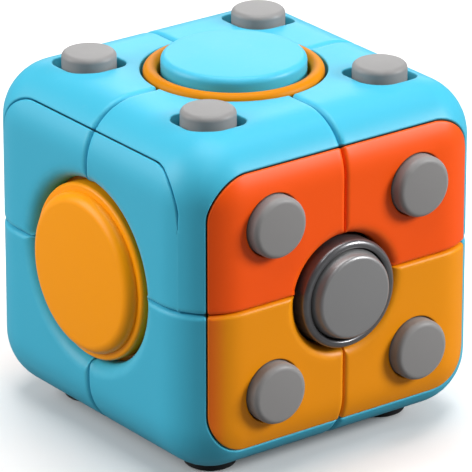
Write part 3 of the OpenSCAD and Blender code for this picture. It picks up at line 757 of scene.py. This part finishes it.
def skinPiece(loops):
    # closed piece of the cube's wall bounded by the loops, the outer loop first
    flatLoops = [flatten(points) for points, _ in loops]
    extra = edgeRows(loops)
    extra = extra[insideLoops(flatten(extra), flatLoops)]
    extra = extra[edgeReach(extra, loops)[0] > cube["clearOfEdge"]]
    grid = gridPoints[insideLoops(flatten(gridPoints), flatLoops)]
    distance, depth = edgeReach(grid, loops)
    grid = grid[(depth == 0) & (distance > cube["gridClear"])]
    flat = [Vector(p) for p in np.vstack(flatLoops + [flatten(extra), flatten(grid)])]
    edges, start = [], 0
    for points, _ in loops:
        count = len(points)
        edges += [(start + k, start + (k + 1) % count) for k in range(count)]
        start += count
    verts, _, faces, _, _, _ = delaunay_2d_cdt(flat, edges, [], 0, 1e-5, True)
    verts, faces = np.array([tuple(v) for v in verts]), np.array(faces)
    faces = faces[insideLoops(verts[faces].mean(1), flatLoops)]
    base = unflatten(verts)
    normal = skinNormal(base)
    outer = base - normal * edgeReach(base, loops)[1][:, None]
    under = base - normal * cube["wall"]
    a, b, c = (base[faces[:, k]] for k in range(3))
    if (np.cross(b - a, c - a) * normal[faces[:, 0]]).sum() < 0:
        faces = faces[:, ::-1]
    faces = withoutPinches(faces)
    count = len(base)
    sides = {pair for a, b, c in faces for pair in ((a, b), (b, c), (c, a))}
    walls = [(b, a, a + count, b + count) for a, b in sides if (b, a) not in sides]
    polygons = [tuple(f) for f in faces] + [tuple(f[::-1] + count) for f in faces] + sorted(walls)
    return np.vstack([outer, under]), polygons


def placePiece(shape, node, signs, material=None):
    # mirrors a corner's shape by the signs and puts it in the cube
    points, polygons = shape
    placed = (points * signs + [0, 0, middle]) * mm
    if np.prod(signs) < 0:
        polygons = [tuple(p[::-1]) for p in polygons]
    mesh = bpy.data.meshes.new(node)
    mesh.from_pydata(placed.tolist(), [], [tuple(int(i) for i in p) for p in polygons])
    work = bmesh.new()
    work.from_mesh(mesh)
    bmesh.ops.delete(work, geom=[v for v in work.verts if not v.link_faces], context="VERTS")
    work.to_mesh(mesh)
    work.free()
    return finishPiece(mesh, node, material)


def fadingOutline(grow):
    # the side tile's outline, whose gap and lips close up towards the bottom of its outer side
    side, top = sideTile
    path = outlinePath(0, side, top, halfGap, seamRise + halfGap, grow)
    share = np.clip((path[:, 2] - cube["fadeTo"]) / (cube["fadeFrom"] - cube["fadeTo"]), 0, 1)
    share = np.where(path[:, 1] > side + grow - 0.01, share, 1.0)
    path[:, 1] += (tileGap / 2 - grow) * (1 - share)
    return skinLift(0, path), cube["outlineLip"] * share


def lipped(path):
    return path, np.full(len(path), cube["holeLip"])


def upperShell(radii):
    cut, seam, thin, ring = cube["corner"], cube["seamLip"], cube["outlineLip"], openings["ring"]
    edge, low = chord(ring, halfGap), seamRise + halfGap
    frontOut = outlinePath(1, *frontTile, halfGap, low, tileGap)
    sideOut, sideLips = fadingOutline(tileGap)
    angle = math.asin(halfGap / ring)
    outer = roundedLoop([
        (seamPath(0, halfGap, 2, 1, edge, frontTile[1] + tileGap), seam, cut),
        (frontOut, thin, cut),
        (seamPath(2, low, 1, 0, frontTile[0] + tileGap, sideOut[-1][1]), seam, 0),
        (sideOut[::-1], sideLips[::-1], cut),
        (seamPath(1, halfGap, 2, 0, edge, sideTile[1] + tileGap)[::-1], seam, cut),
        (arcPath(2, (0, 0), ring, angle, math.pi / 2 - angle), cube["holeLip"], cut),
    ])
    pocket = pocketPath(topCentre[:2], openings["pocketHalf"], radii)[::-1]
    return skinPiece([outer, lipped(pocket)])


def lowerShell():
    cut, seam, thin, pad = cube["corner"], cube["seamLip"], cube["outlineLip"], openings["pad"]
    low = -seamRise + halfGap
    frontOut = outlinePath(1, *frontTile, halfGap, low, tileGap)
    outer = roundedLoop([
        (seamPath(0, halfGap, 2, 1, halfGap, frontTile[1] + tileGap), seam, cut),
        (frontOut, thin, cut),
        (seamPath(2, low, 1, 0, frontTile[0] + tileGap, chord(pad, low)), seam, cut),
        (quarterArc(0, 0, pad, low), cube["padLip"], cut),
        (seamPath(1, halfGap, 0, 2, chord(pad, halfGap), halfGap), seam, cut),
    ])
    return skinPiece([outer, lipped(circlePath(2, footPlace, openings["foot"])[::-1])])


def frontQuarter(sign):
    # an upper or lower quarter of the front tile
    cut, seam, thin, collar = cube["corner"], cube["tileSeamLip"], cube["outlineLip"], openings["collar"]
    low, rise = sign * seamRise + halfGap, sign * collarCentre[2]
    outer = roundedLoop([
        (straightPath(1, 2, rise + chord(collar, halfGap), frontTile[1], halfGap), seam, cut),
        (outlinePath(1, *frontTile, halfGap, low), thin, cut),
        (straightPath(1, 0, frontTile[0], chord(collar, low - rise), low), seam, cut),
        (quarterArc(1, rise, collar, low), cube["collarLip"], cut),
    ])
    return skinPiece([outer, lipped(circlePath(1, (buttonCentre[0], buttonCentre[2]), openings["button"]))])


def sideQuarter():
    cut, seam, pad = cube["corner"], cube["seamLip"], openings["pad"]
    low = seamRise + halfGap
    outline, lips = fadingOutline(0.0)
    outer = roundedLoop([
        (quarterArc(0, 0, pad, low)[::-1], cube["padLip"], cut),
        (straightPath(0, 1, chord(pad, low), outline[-1][1], low), seam, 0),
        (outline[::-1], lips[::-1], cut),
        (straightPath(0, 2, sideTile[1], chord(pad, halfGap), halfGap), seam, cut),
    ])
    return skinPiece([outer])


wide, tight = openings["pocketCorners"]
fixings = {
    "facePegs": ((10.2, 3.1), (7.4, 3.1)), "sidePegs": ((9.4, 4.79), (7.2, 7.72)),
    "pegRadius": 0.8, "pegLap": 0.3, "pegEdge": 0.2,
    "pegEnd": (sideLow[0], -tileHigh[1]),       # inner ends of the side and face tiles' pegs
    "coreDepth": 4.5,                           # depth of the core's faces below the cube's
    "screwHole": 1.1, "headHole": 1.8, "headDeep": 1.2, "holeEdge": 0.1,
    "bossRadius": 2.9, "bossLap": 0.15, "bossEdge": 0.2, "footRecess": 0.5,
    "earRadius": 2.1, "earPlace": (2.46, 7.7), "earGap": 0.1,
    "ribWidth": (0.6, 4.3),
    "ribSide": ((12.0, 9.55), (14.4, 9.55), (14.4, 10.9), (13.95, 12.05), (14.2, 12.9), (12.0, 13.4)),
    "segments": 48, "filletSteps": 3,
}
wallIn = halfSize - cube["wall"]
coreFace = halfSize - fixings["coreDepth"]


def turnedShape(section, axis, place):
    # a turned part as points and polygons; its heights run outwards along the axis from the cube's middle
    made = turnedMesh(section, "shell_blue", fixings["segments"], fixings["filletSteps"])
    points = np.array([v.co for v in made.vertices]) / mm
    polygons = [tuple(p.vertices) for p in made.polygons]
    bpy.data.meshes.remove(made)
    return np.roll(points, axis + 1, axis=1) + np.insert(place, axis, 0.0), polygons


def joined(shape, parts):
    # a shape with more closed parts added to it
    points, polygons = shape
    for more, faces in parts:
        polygons = polygons + [tuple(i + len(points) for i in face) for face in faces]
        points = np.vstack([points, more])
    return points, polygons


def pegs(axis, places):
    top, end = wallIn[axis] + fixings["pegLap"], fixings["pegEnd"][axis]
    r, edge = fixings["pegRadius"], fixings["pegEdge"]
    section = [(0, top, 0), (r, top, 0), (r, end, edge), (0, end, 0)]
    return [turnedShape(section, axis, place) for place in places]


def footBoss():
    # tube round a foot screw, which closes the opening under the foot down to the screw's seat
    hole, head, r = fixings["screwHole"], fixings["headHole"], fixings["bossRadius"]
    inside, top = openings["foot"] + 0.01, halfSize[2] - fixings["footRecess"]
    seat, end, lap = top - fixings["headDeep"], coreFace[2], wallIn[2] + fixings["bossLap"]
    return turnedShape([
        (hole, seat, 0), (hole, end, fixings["holeEdge"]), (r, end, fixings["bossEdge"]), (r, lap, 0),
        (inside, lap, 0), (inside, top, 0), (head, top, 0), (head, seat, 0), (hole, seat, 0)], 2, footPlace)


def lugEar():
    # ear behind the front tile, with its screw's seat, and the rib that ties it to the shell
    hole, head, r = fixings["screwHole"], fixings["headHole"], fixings["earRadius"]
    end, top = coreFace[1], wallIn[1] - fixings["earGap"]
    seat, edge = top - fixings["headDeep"], fixings["holeEdge"]
    ear = turnedShape([
        (hole, seat, 0), (hole, end, edge), (r, end, fixings["bossEdge"]), (r, top, edge), (head, top, 0),
        (head, seat, 0), (hole, seat, 0)], 1, fixings["earPlace"])
    outline, count = fixings["ribSide"], len(fixings["ribSide"])
    points = np.array([(x, y, z) for x in fixings["ribWidth"] for y, z in outline])
    sides = [(k, (k + 1) % count, (k + 1) % count + count, k + count) for k in range(count)]
    ends = [tuple(range(count))[::-1], tuple(range(count, 2 * count))]
    return [ear, (points, ends + sides)]


upper = {1: upperShell((wide, tight, wide, tight)), -1: upperShell((tight, wide, tight, wide))}
upper = {turn: joined(shape, lugEar()) for turn, shape in upper.items()}
lower = joined(lowerShell(), [footBoss()])
side = joined(sideQuarter(), pegs(0, fixings["sidePegs"]))
tileTop, tileBottom = (joined(frontQuarter(sign), pegs(1, fixings["facePegs"])) for sign in (1, -1))
# Every corner is a mirrored copy of the one at the rear right
for yName, ySign in (("front", -1), ("rear", 1)):
    for xName, xSign in (("left", -1), ("right", 1)):
        placePiece(upper[xSign * ySign], f"shell_top_{yName}_{xName}", (xSign, ySign, 1))
        placePiece(lower, f"shell_bottom_{yName}_{xName}", (xSign, ySign, -1))
        placePiece(tileTop, f"{yName}_tile_top_{xName}", (xSign, ySign, 1))
        faded = "tile_amber_faded" if xSign * ySign > 0 and yName == "front" else None
        placePiece(tileBottom, f"{yName}_tile_bottom_{xName}", (xSign, ySign, -1), faded)
        placePiece(side, f"{xName}_tile_{yName}", (xSign, ySign, 1))
print("shells and tiles built:", [len(s[0]) for s in (upper[1], lower, side, tileTop, tileBottom)])


# How a part made with Z up from a face is turned onto each side of the cube
faceTurns = {
    "top": Matrix.Translation((0, 0, (middle + halfSize[2]) * mm)),
    "bottom": Matrix.Translation((0, 0, (middle - halfSize[2]) * mm)) @ Matrix.Rotation(math.pi, 4, "X"),
    "front": Matrix.Translation((0, -halfSize[1] * mm, middle * mm)) @ Matrix.Rotation(math.pi / 2, 4, "X"),
    "rear": Matrix.Translation((0, halfSize[1] * mm, middle * mm)) @ Matrix.Rotation(-math.pi / 2, 4, "X"),
    "left": Matrix.Translation((-halfSize[0] * mm, 0, middle * mm)) @ Matrix.Rotation(-math.pi / 2, 4, "Y"),
    "right": Matrix.Translation((halfSize[0] * mm, 0, middle * mm)) @ Matrix.Rotation(math.pi / 2, 4, "Y"),
}


def putOnFace(made, node, face, material=None):
    # moves a part from the face's own axes to the middle of its node's box on that face
    low, high = boxOf(node)
    centre = (low + high) / 2 * mm
    turn = faceTurns[face]
    outward = turn.to_3x3() @ Vector((0, 0, 1))
    slide = Vector(centre) - turn.translation
    slide -= outward * slide.dot(outward)
    made.transform(Matrix.Translation(slide) @ turn)
    return finishPiece(made, node, material)


depths = {      # of the round parts' flanges and stems below the cube's face
    "flangeTop": -2.1, "flangeBottom": -2.9, "coreFace": -4.5, "stemEnd": -7.2, "flangeEdge": 0.12,
}


def pushButton(radius, proud, flange, edge):
    top, bottom, small = depths["flangeTop"], depths["flangeBottom"], depths["flangeEdge"]
    return [
        (0, proud, 0), (radius, proud, edge), (radius, top, 0.1), (flange, top, small),
        (flange, bottom, small), (0, bottom, 0)]


faceButton = {"radius": buttonHalf[0] - 0.6, "flange": buttonHalf[0], "edge": 0.55,
              "proud": -boxOf("front_button_top_right")[0][1] - halfSize[1]}
topButton = {"radius": 2.5, "flange": topHalf[0], "edge": 0.5,
             "proud": boxOf("top_button_rear_right")[1][2] - middle - halfSize[2]}
for face in ("front", "rear"):
    for level in ("top", "bottom"):
        for hand in ("left", "right"):
            made = turnedMesh(pushButton(**faceButton), "button_gray")
            putOnFace(made, f"{face}_button_{level}_{hand}", face)
    for hand in ("left", "right"):
        putOnFace(turnedMesh(pushButton(**topButton), "button_gray"), f"top_button_{face}_{hand}", "top")
print("gray buttons built")

collar = {"radius": collarHalf[0] - 0.9, "edge": 0.5, "proud": 0.7, "bore": 4.3, "boreEdge": 0.26,
          "step": -2.6, "lowerBore": 4.65, "flange": collarHalf[0], "flangeTop": -3.6}
centre = {"radius": 4.2, "topRadius": 3.82, "taperStart": 0.3, "taperEdge": 0.3, "proud": 1.5, "edge": 0.4,
          "flange": 4.55, "flangeTop": -2.7, "flangeBottom": -3.5, "stem": 1.5, "stemEnd": -7.1}


def collarSection(c):
    small, bottom = depths["flangeEdge"], depths["coreFace"]
    return [
        (c["bore"], c["step"] / 2, 0), (c["bore"], c["proud"], c["boreEdge"]),
        (c["radius"], c["proud"], c["edge"]), (c["radius"], c["flangeTop"], 0.1),
        (c["flange"], c["flangeTop"], small), (c["flange"], bottom, small), (c["lowerBore"], bottom, 0),
        (c["lowerBore"], c["step"], 0), (c["bore"], c["step"], 0), (c["bore"], c["step"] / 2, 0)]


def centreSection(c):
    return [
        (0, c["proud"], 0), (c["topRadius"], c["proud"], c["edge"]),
        (c["radius"], c["taperStart"], c["taperEdge"]), (c["radius"], c["flangeTop"], 0),
        (c["flange"], c["flangeTop"], 0.1), (c["flange"], c["flangeBottom"], 0.1),
        (c["stem"], c["flangeBottom"], 0.2), (c["stem"], c["stemEnd"], 0.3), (0, c["stemEnd"], 0)]


for face in ("front", "rear"):
    putOnFace(turnedMesh(collarSection(collar), "gunmetal"), f"{face}_collar", face)
    putOnFace(turnedMesh(centreSection(centre), "gunmetal"), f"{face}_centre_button", face, "gunmetal_satin")
print("metal collars and buttons built")

large = 160         # segments round the large turned parts
disc = {"radius": discHalf[0], "proud": 1.4, "edge": 0.6, "wall": 1.4, "stem": 2.0, "neck": 1.5,
        "neckTop": -6.8, "end": -7.7}
ring = {"radius": openings["ring"] - 0.25, "bore": 6.9, "proud": 0.4, "flange": ringHalf[0], "groove": 0.25,
        "grooveTop": -2.4, "start": -1.5}
pad = {"cap": 7.5, "proud": 0.8, "edge": 1.02, "step": 8.2, "stepTop": -0.25, "stepEdge": 0.34,
       "flange": padHalf[1], "wall": 1.4, "stem": 2.0}


def discSection(d):
    under, inside, bottom = d["proud"] - d["wall"], d["radius"] - d["wall"], depths["flangeBottom"]
    return [
        (0, d["proud"], 0), (d["radius"], d["proud"], d["edge"]), (d["radius"], bottom, 0.15),
        (inside, bottom, 0.1), (inside, under, 0.3), (d["stem"], under, 0.3), (d["stem"], d["neckTop"], 0),
        (d["neck"], d["neckTop"], 0), (d["neck"], d["end"], 0.25), (0, d["end"], 0)]


def ringSection(r):
    # the section is closed, so it starts and ends on the wall of the bore
    bulge, mid = (r["radius"] - r["bore"]) / 2, (r["radius"] + r["bore"]) / 2
    top, bottom, small = depths["flangeTop"], depths["flangeBottom"], depths["flangeEdge"]
    outside, inside = mid + r["groove"], mid - r["groove"]
    return [
        (r["bore"], r["start"], 0), (r["bore"], r["proud"], bulge), (r["radius"], r["proud"], bulge),
        (r["radius"], top, 0), (r["flange"], top, small), (r["flange"], bottom, small), (outside, bottom, 0),
        (outside, r["grooveTop"], 0), (inside, r["grooveTop"], 0), (inside, bottom, 0),
        (r["bore"], bottom, 0), (r["bore"], r["start"], 0)]


def padSection(p):
    under, inside, end = p["proud"] - p["wall"], p["cap"] - p["wall"], depths["stemEnd"]
    top, bottom, small = depths["flangeTop"], depths["flangeBottom"], depths["flangeEdge"]
    return [
        (0, p["proud"], 0), (p["cap"], p["proud"], p["edge"]), (p["cap"], p["stepTop"], 0),
        (p["step"], p["stepTop"], p["stepEdge"]), (p["step"], top, 0), (p["flange"], top, small),
        (p["flange"], bottom, small), (inside, bottom, 0), (inside, under, 0.3),
        (p["stem"], under, 0.3), (p["stem"], end, 0.3), (0, end, 0)]


putOnFace(turnedMesh(discSection(disc), "shell_blue", large), "top_disc", "top")
putOnFace(turnedMesh(ringSection(ring), "ring_yellow", large, 10), "spin_ring", "top")
for hand in ("left", "right"):
    putOnFace(turnedMesh(padSection(pad), "pad_orange", large, 9), f"{hand}_thumb_pad", hand)
print("disc, ring and thumb pads built")

foot = {"radius": footRadius, "edge": 0.3, "dimple": 0.75, "recess": 0.5, "proud": lowerLow[2]}
footSection = [
    (0, foot["proud"], 0), (foot["radius"] - foot["dimple"], foot["proud"], 0.1),
    (foot["radius"], foot["proud"], foot["edge"]), (foot["radius"], -foot["recess"], 0),
    (0, -foot["recess"], 0)]


def rubberFeet():
    part = bpy.data.objects.new("scratchFoot", turnedMesh(footSection, "rubber_black", 64, 5))
    points = bpy.data.meshes.new("footPoints")
    places = [(x * footPlace[0] * mm, y * footPlace[1] * mm, 0) for x in (-1, 1) for y in (-1, 1)]
    points.from_pydata(places, [], [])
    made = runTree(trees["setOut"], points, {"Part": part, "Material": materials["rubber_black"]})
    bpy.data.objects.remove(part)
    bpy.data.meshes.remove(points)
    putOnFace(made, "rubber_feet", "bottom")


rubberFeet()


def coilSpring(node, face, wire, turns):
    low, high = boxOf(node)
    size = high - low
    axis = {"top": 2, "front": 1, "rear": 1, "left": 0, "right": 0}[face]
    height = size[axis]
    radius = size[2 if axis != 2 else 0] / 2 - wire / 2
    start = bpy.data.meshes.new("springStart")
    made = runTree(trees["spring"], start, {
        "Radius": radius * mm, "Wire Radius": wire / 2 * mm, "Height": (height - wire) * mm,
        "Turns": float(turns), "Material": materials["steel"]})
    bpy.data.meshes.remove(start)
    innerEnd = low[axis] - (middle if axis == 2 else 0) if face in ("top", "rear", "right") else -high[axis]
    made.transform(Matrix.Translation((0, 0, (innerEnd - halfSize[axis] + wire / 2) * mm)))
    shortenWithJoint(putOnFace(made, node, face), node)


def shortenWithJoint(piece, node):
    # gives the spring a mesh of its own when a joint lists its node as deforming
    for joint in frame["joints"]:
        for soft in joint.get("deforming_nodes", []):
            if soft["node"] == node:
                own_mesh(piece)


largeSpring = {"wire": 0.5, "turns": 4}
smallSpring = {"wire": 0.35, "turns": 3}
coilSpring("disc_spring", "top", **largeSpring)
for face in ("front", "rear"):
    coilSpring(f"{face}_spring", face, **smallSpring)
for hand in ("left", "right"):
    coilSpring(f"{hand}_spring", hand, **largeSpring)
print("feet and springs built")

# What stays as it was designed gets its finish
for node, thing in frame["nodes"].items():
    if not thing.hide_render:
        thing.data.materials.clear()
        thing.data.materials.append(materials[slotOf[node]])


studio = {
    "floorHalf": 3.0,                       # metres, as are the places and sizes of the lights
    "paper": (0.90, 0.90, 0.90),            # colour of the floor as it is seen
    "paperBounce": (0.20, 0.20, 0.20),      # colour by which it sends light back
    "paperRoughness": 0.9,
    "worldStrength": 0.12,
}
lights = {
    "overhead": {"place": (0.03, 0.02, 0.36), "size": (0.26, 0.26), "power": 1.0},
    "frontKey": {"place": (0.47, -0.44, 0.31), "size": (0.24, 0.24), "power": 5.3},
    "leftKey": {"place": (-0.46, 0.28, 0.27), "size": (0.40, 0.40), "power": 3.1},
    "backCard": {"place": (0.34, 0.45, 0.24), "size": (0.40, 0.26), "power": 0.75},
    "cornerGlow": {"place": (-0.12, -0.17, 0.35), "size": (0.07, 0.07), "power": 0.12},
}


def makeFloor():
    # pale paper, which sends only a little light back up to the cube and is clear from below
    shape = bmesh.new()
    bmesh.ops.create_grid(shape, x_segments=8, y_segments=8, size=studio["floorHalf"])
    mesh = bpy.data.meshes.new("floor")
    shape.to_mesh(mesh)
    shape.free()
    floor = bpy.data.objects.new("floor", mesh)
    material = bpy.data.materials.new("floorPaper")
    material.use_nodes = True
    tree = material.node_tree
    surface = tree.nodes["Principled BSDF"]
    seen = put(tree, "ShaderNodeLightPath").outputs["Is Camera Ray"]
    tone = mixColour(tree, seen, rgba(studio["paperBounce"]), rgba(studio["paper"]))
    tree.links.new(tone, surface.inputs["Base Color"])
    surface.inputs["Roughness"].default_value = studio["paperRoughness"]
    under = put(tree, "ShaderNodeNewGeometry").outputs["Backfacing"]
    clear = result(tree, "ShaderNodeBsdfTransparent")
    either = result(tree, "ShaderNodeMixShader", {0: under, 1: surface.outputs[0], 2: clear})
    tree.links.new(either, tree.nodes["Material Output"].inputs[0])
    mesh.materials.append(material)
    intoScene(floor)


def areaLight(name, place, size, power):
    light = bpy.data.lights.new(name, "AREA")
    light.shape = "RECTANGLE"
    light.size, light.size_y = size
    light.energy = power
    thing = bpy.data.objects.new(name, light)
    thing.location = place
    aim = Vector((0, 0, middle * mm)) - Vector(place)
    thing.rotation_euler = aim.to_track_quat("-Z", "Y").to_euler()
    intoScene(thing)


def makeWorld():
    world = bpy.data.worlds.new("studioAir")
    bpy.context.scene.world = world
    world.use_nodes = True
    world.node_tree.nodes["Background"].inputs["Color"].default_value = (1, 1, 1, 1)
    world.node_tree.nodes["Background"].inputs["Strength"].default_value = studio["worldStrength"]


makeFloor()
makeWorld()
for name, settings in lights.items():
    areaLight(name, **settings)

view = {"azimuth": -36.876, "elevation": 22.404, "distance": 444.6, "right": 0.191, "up": -0.50,
        "lens": 372.64}


def makeCamera():
    # looks past the cube's middle from the view's direction, moved right and up in the picture's plane
    a, e = math.radians(view["azimuth"]), math.radians(view["elevation"])
    back = Vector((math.sin(a) * math.cos(e), -math.cos(a) * math.cos(e), math.sin(e)))
    right = Vector((math.cos(a), math.sin(a), 0))
    up = back.cross(right)
    camera = bpy.data.cameras.new("camera")
    camera.lens = view["lens"]
    camera.sensor_width = 36.0
    camera.clip_start = 0.01
    thing = bpy.data.objects.new("camera", camera)
    place = Vector((0, 0, middle)) + back * view["distance"] + right * view["right"] + up * view["up"]
    turn = Matrix((right, up, back)).transposed().to_4x4()
    thing.matrix_world = Matrix.Translation(place * mm) @ turn
    intoScene(thing)
    bpy.context.scene.camera = thing


makeCamera()
bpy.context.scene.view_settings.view_transform = "Standard"
print("floor, light and camera set")
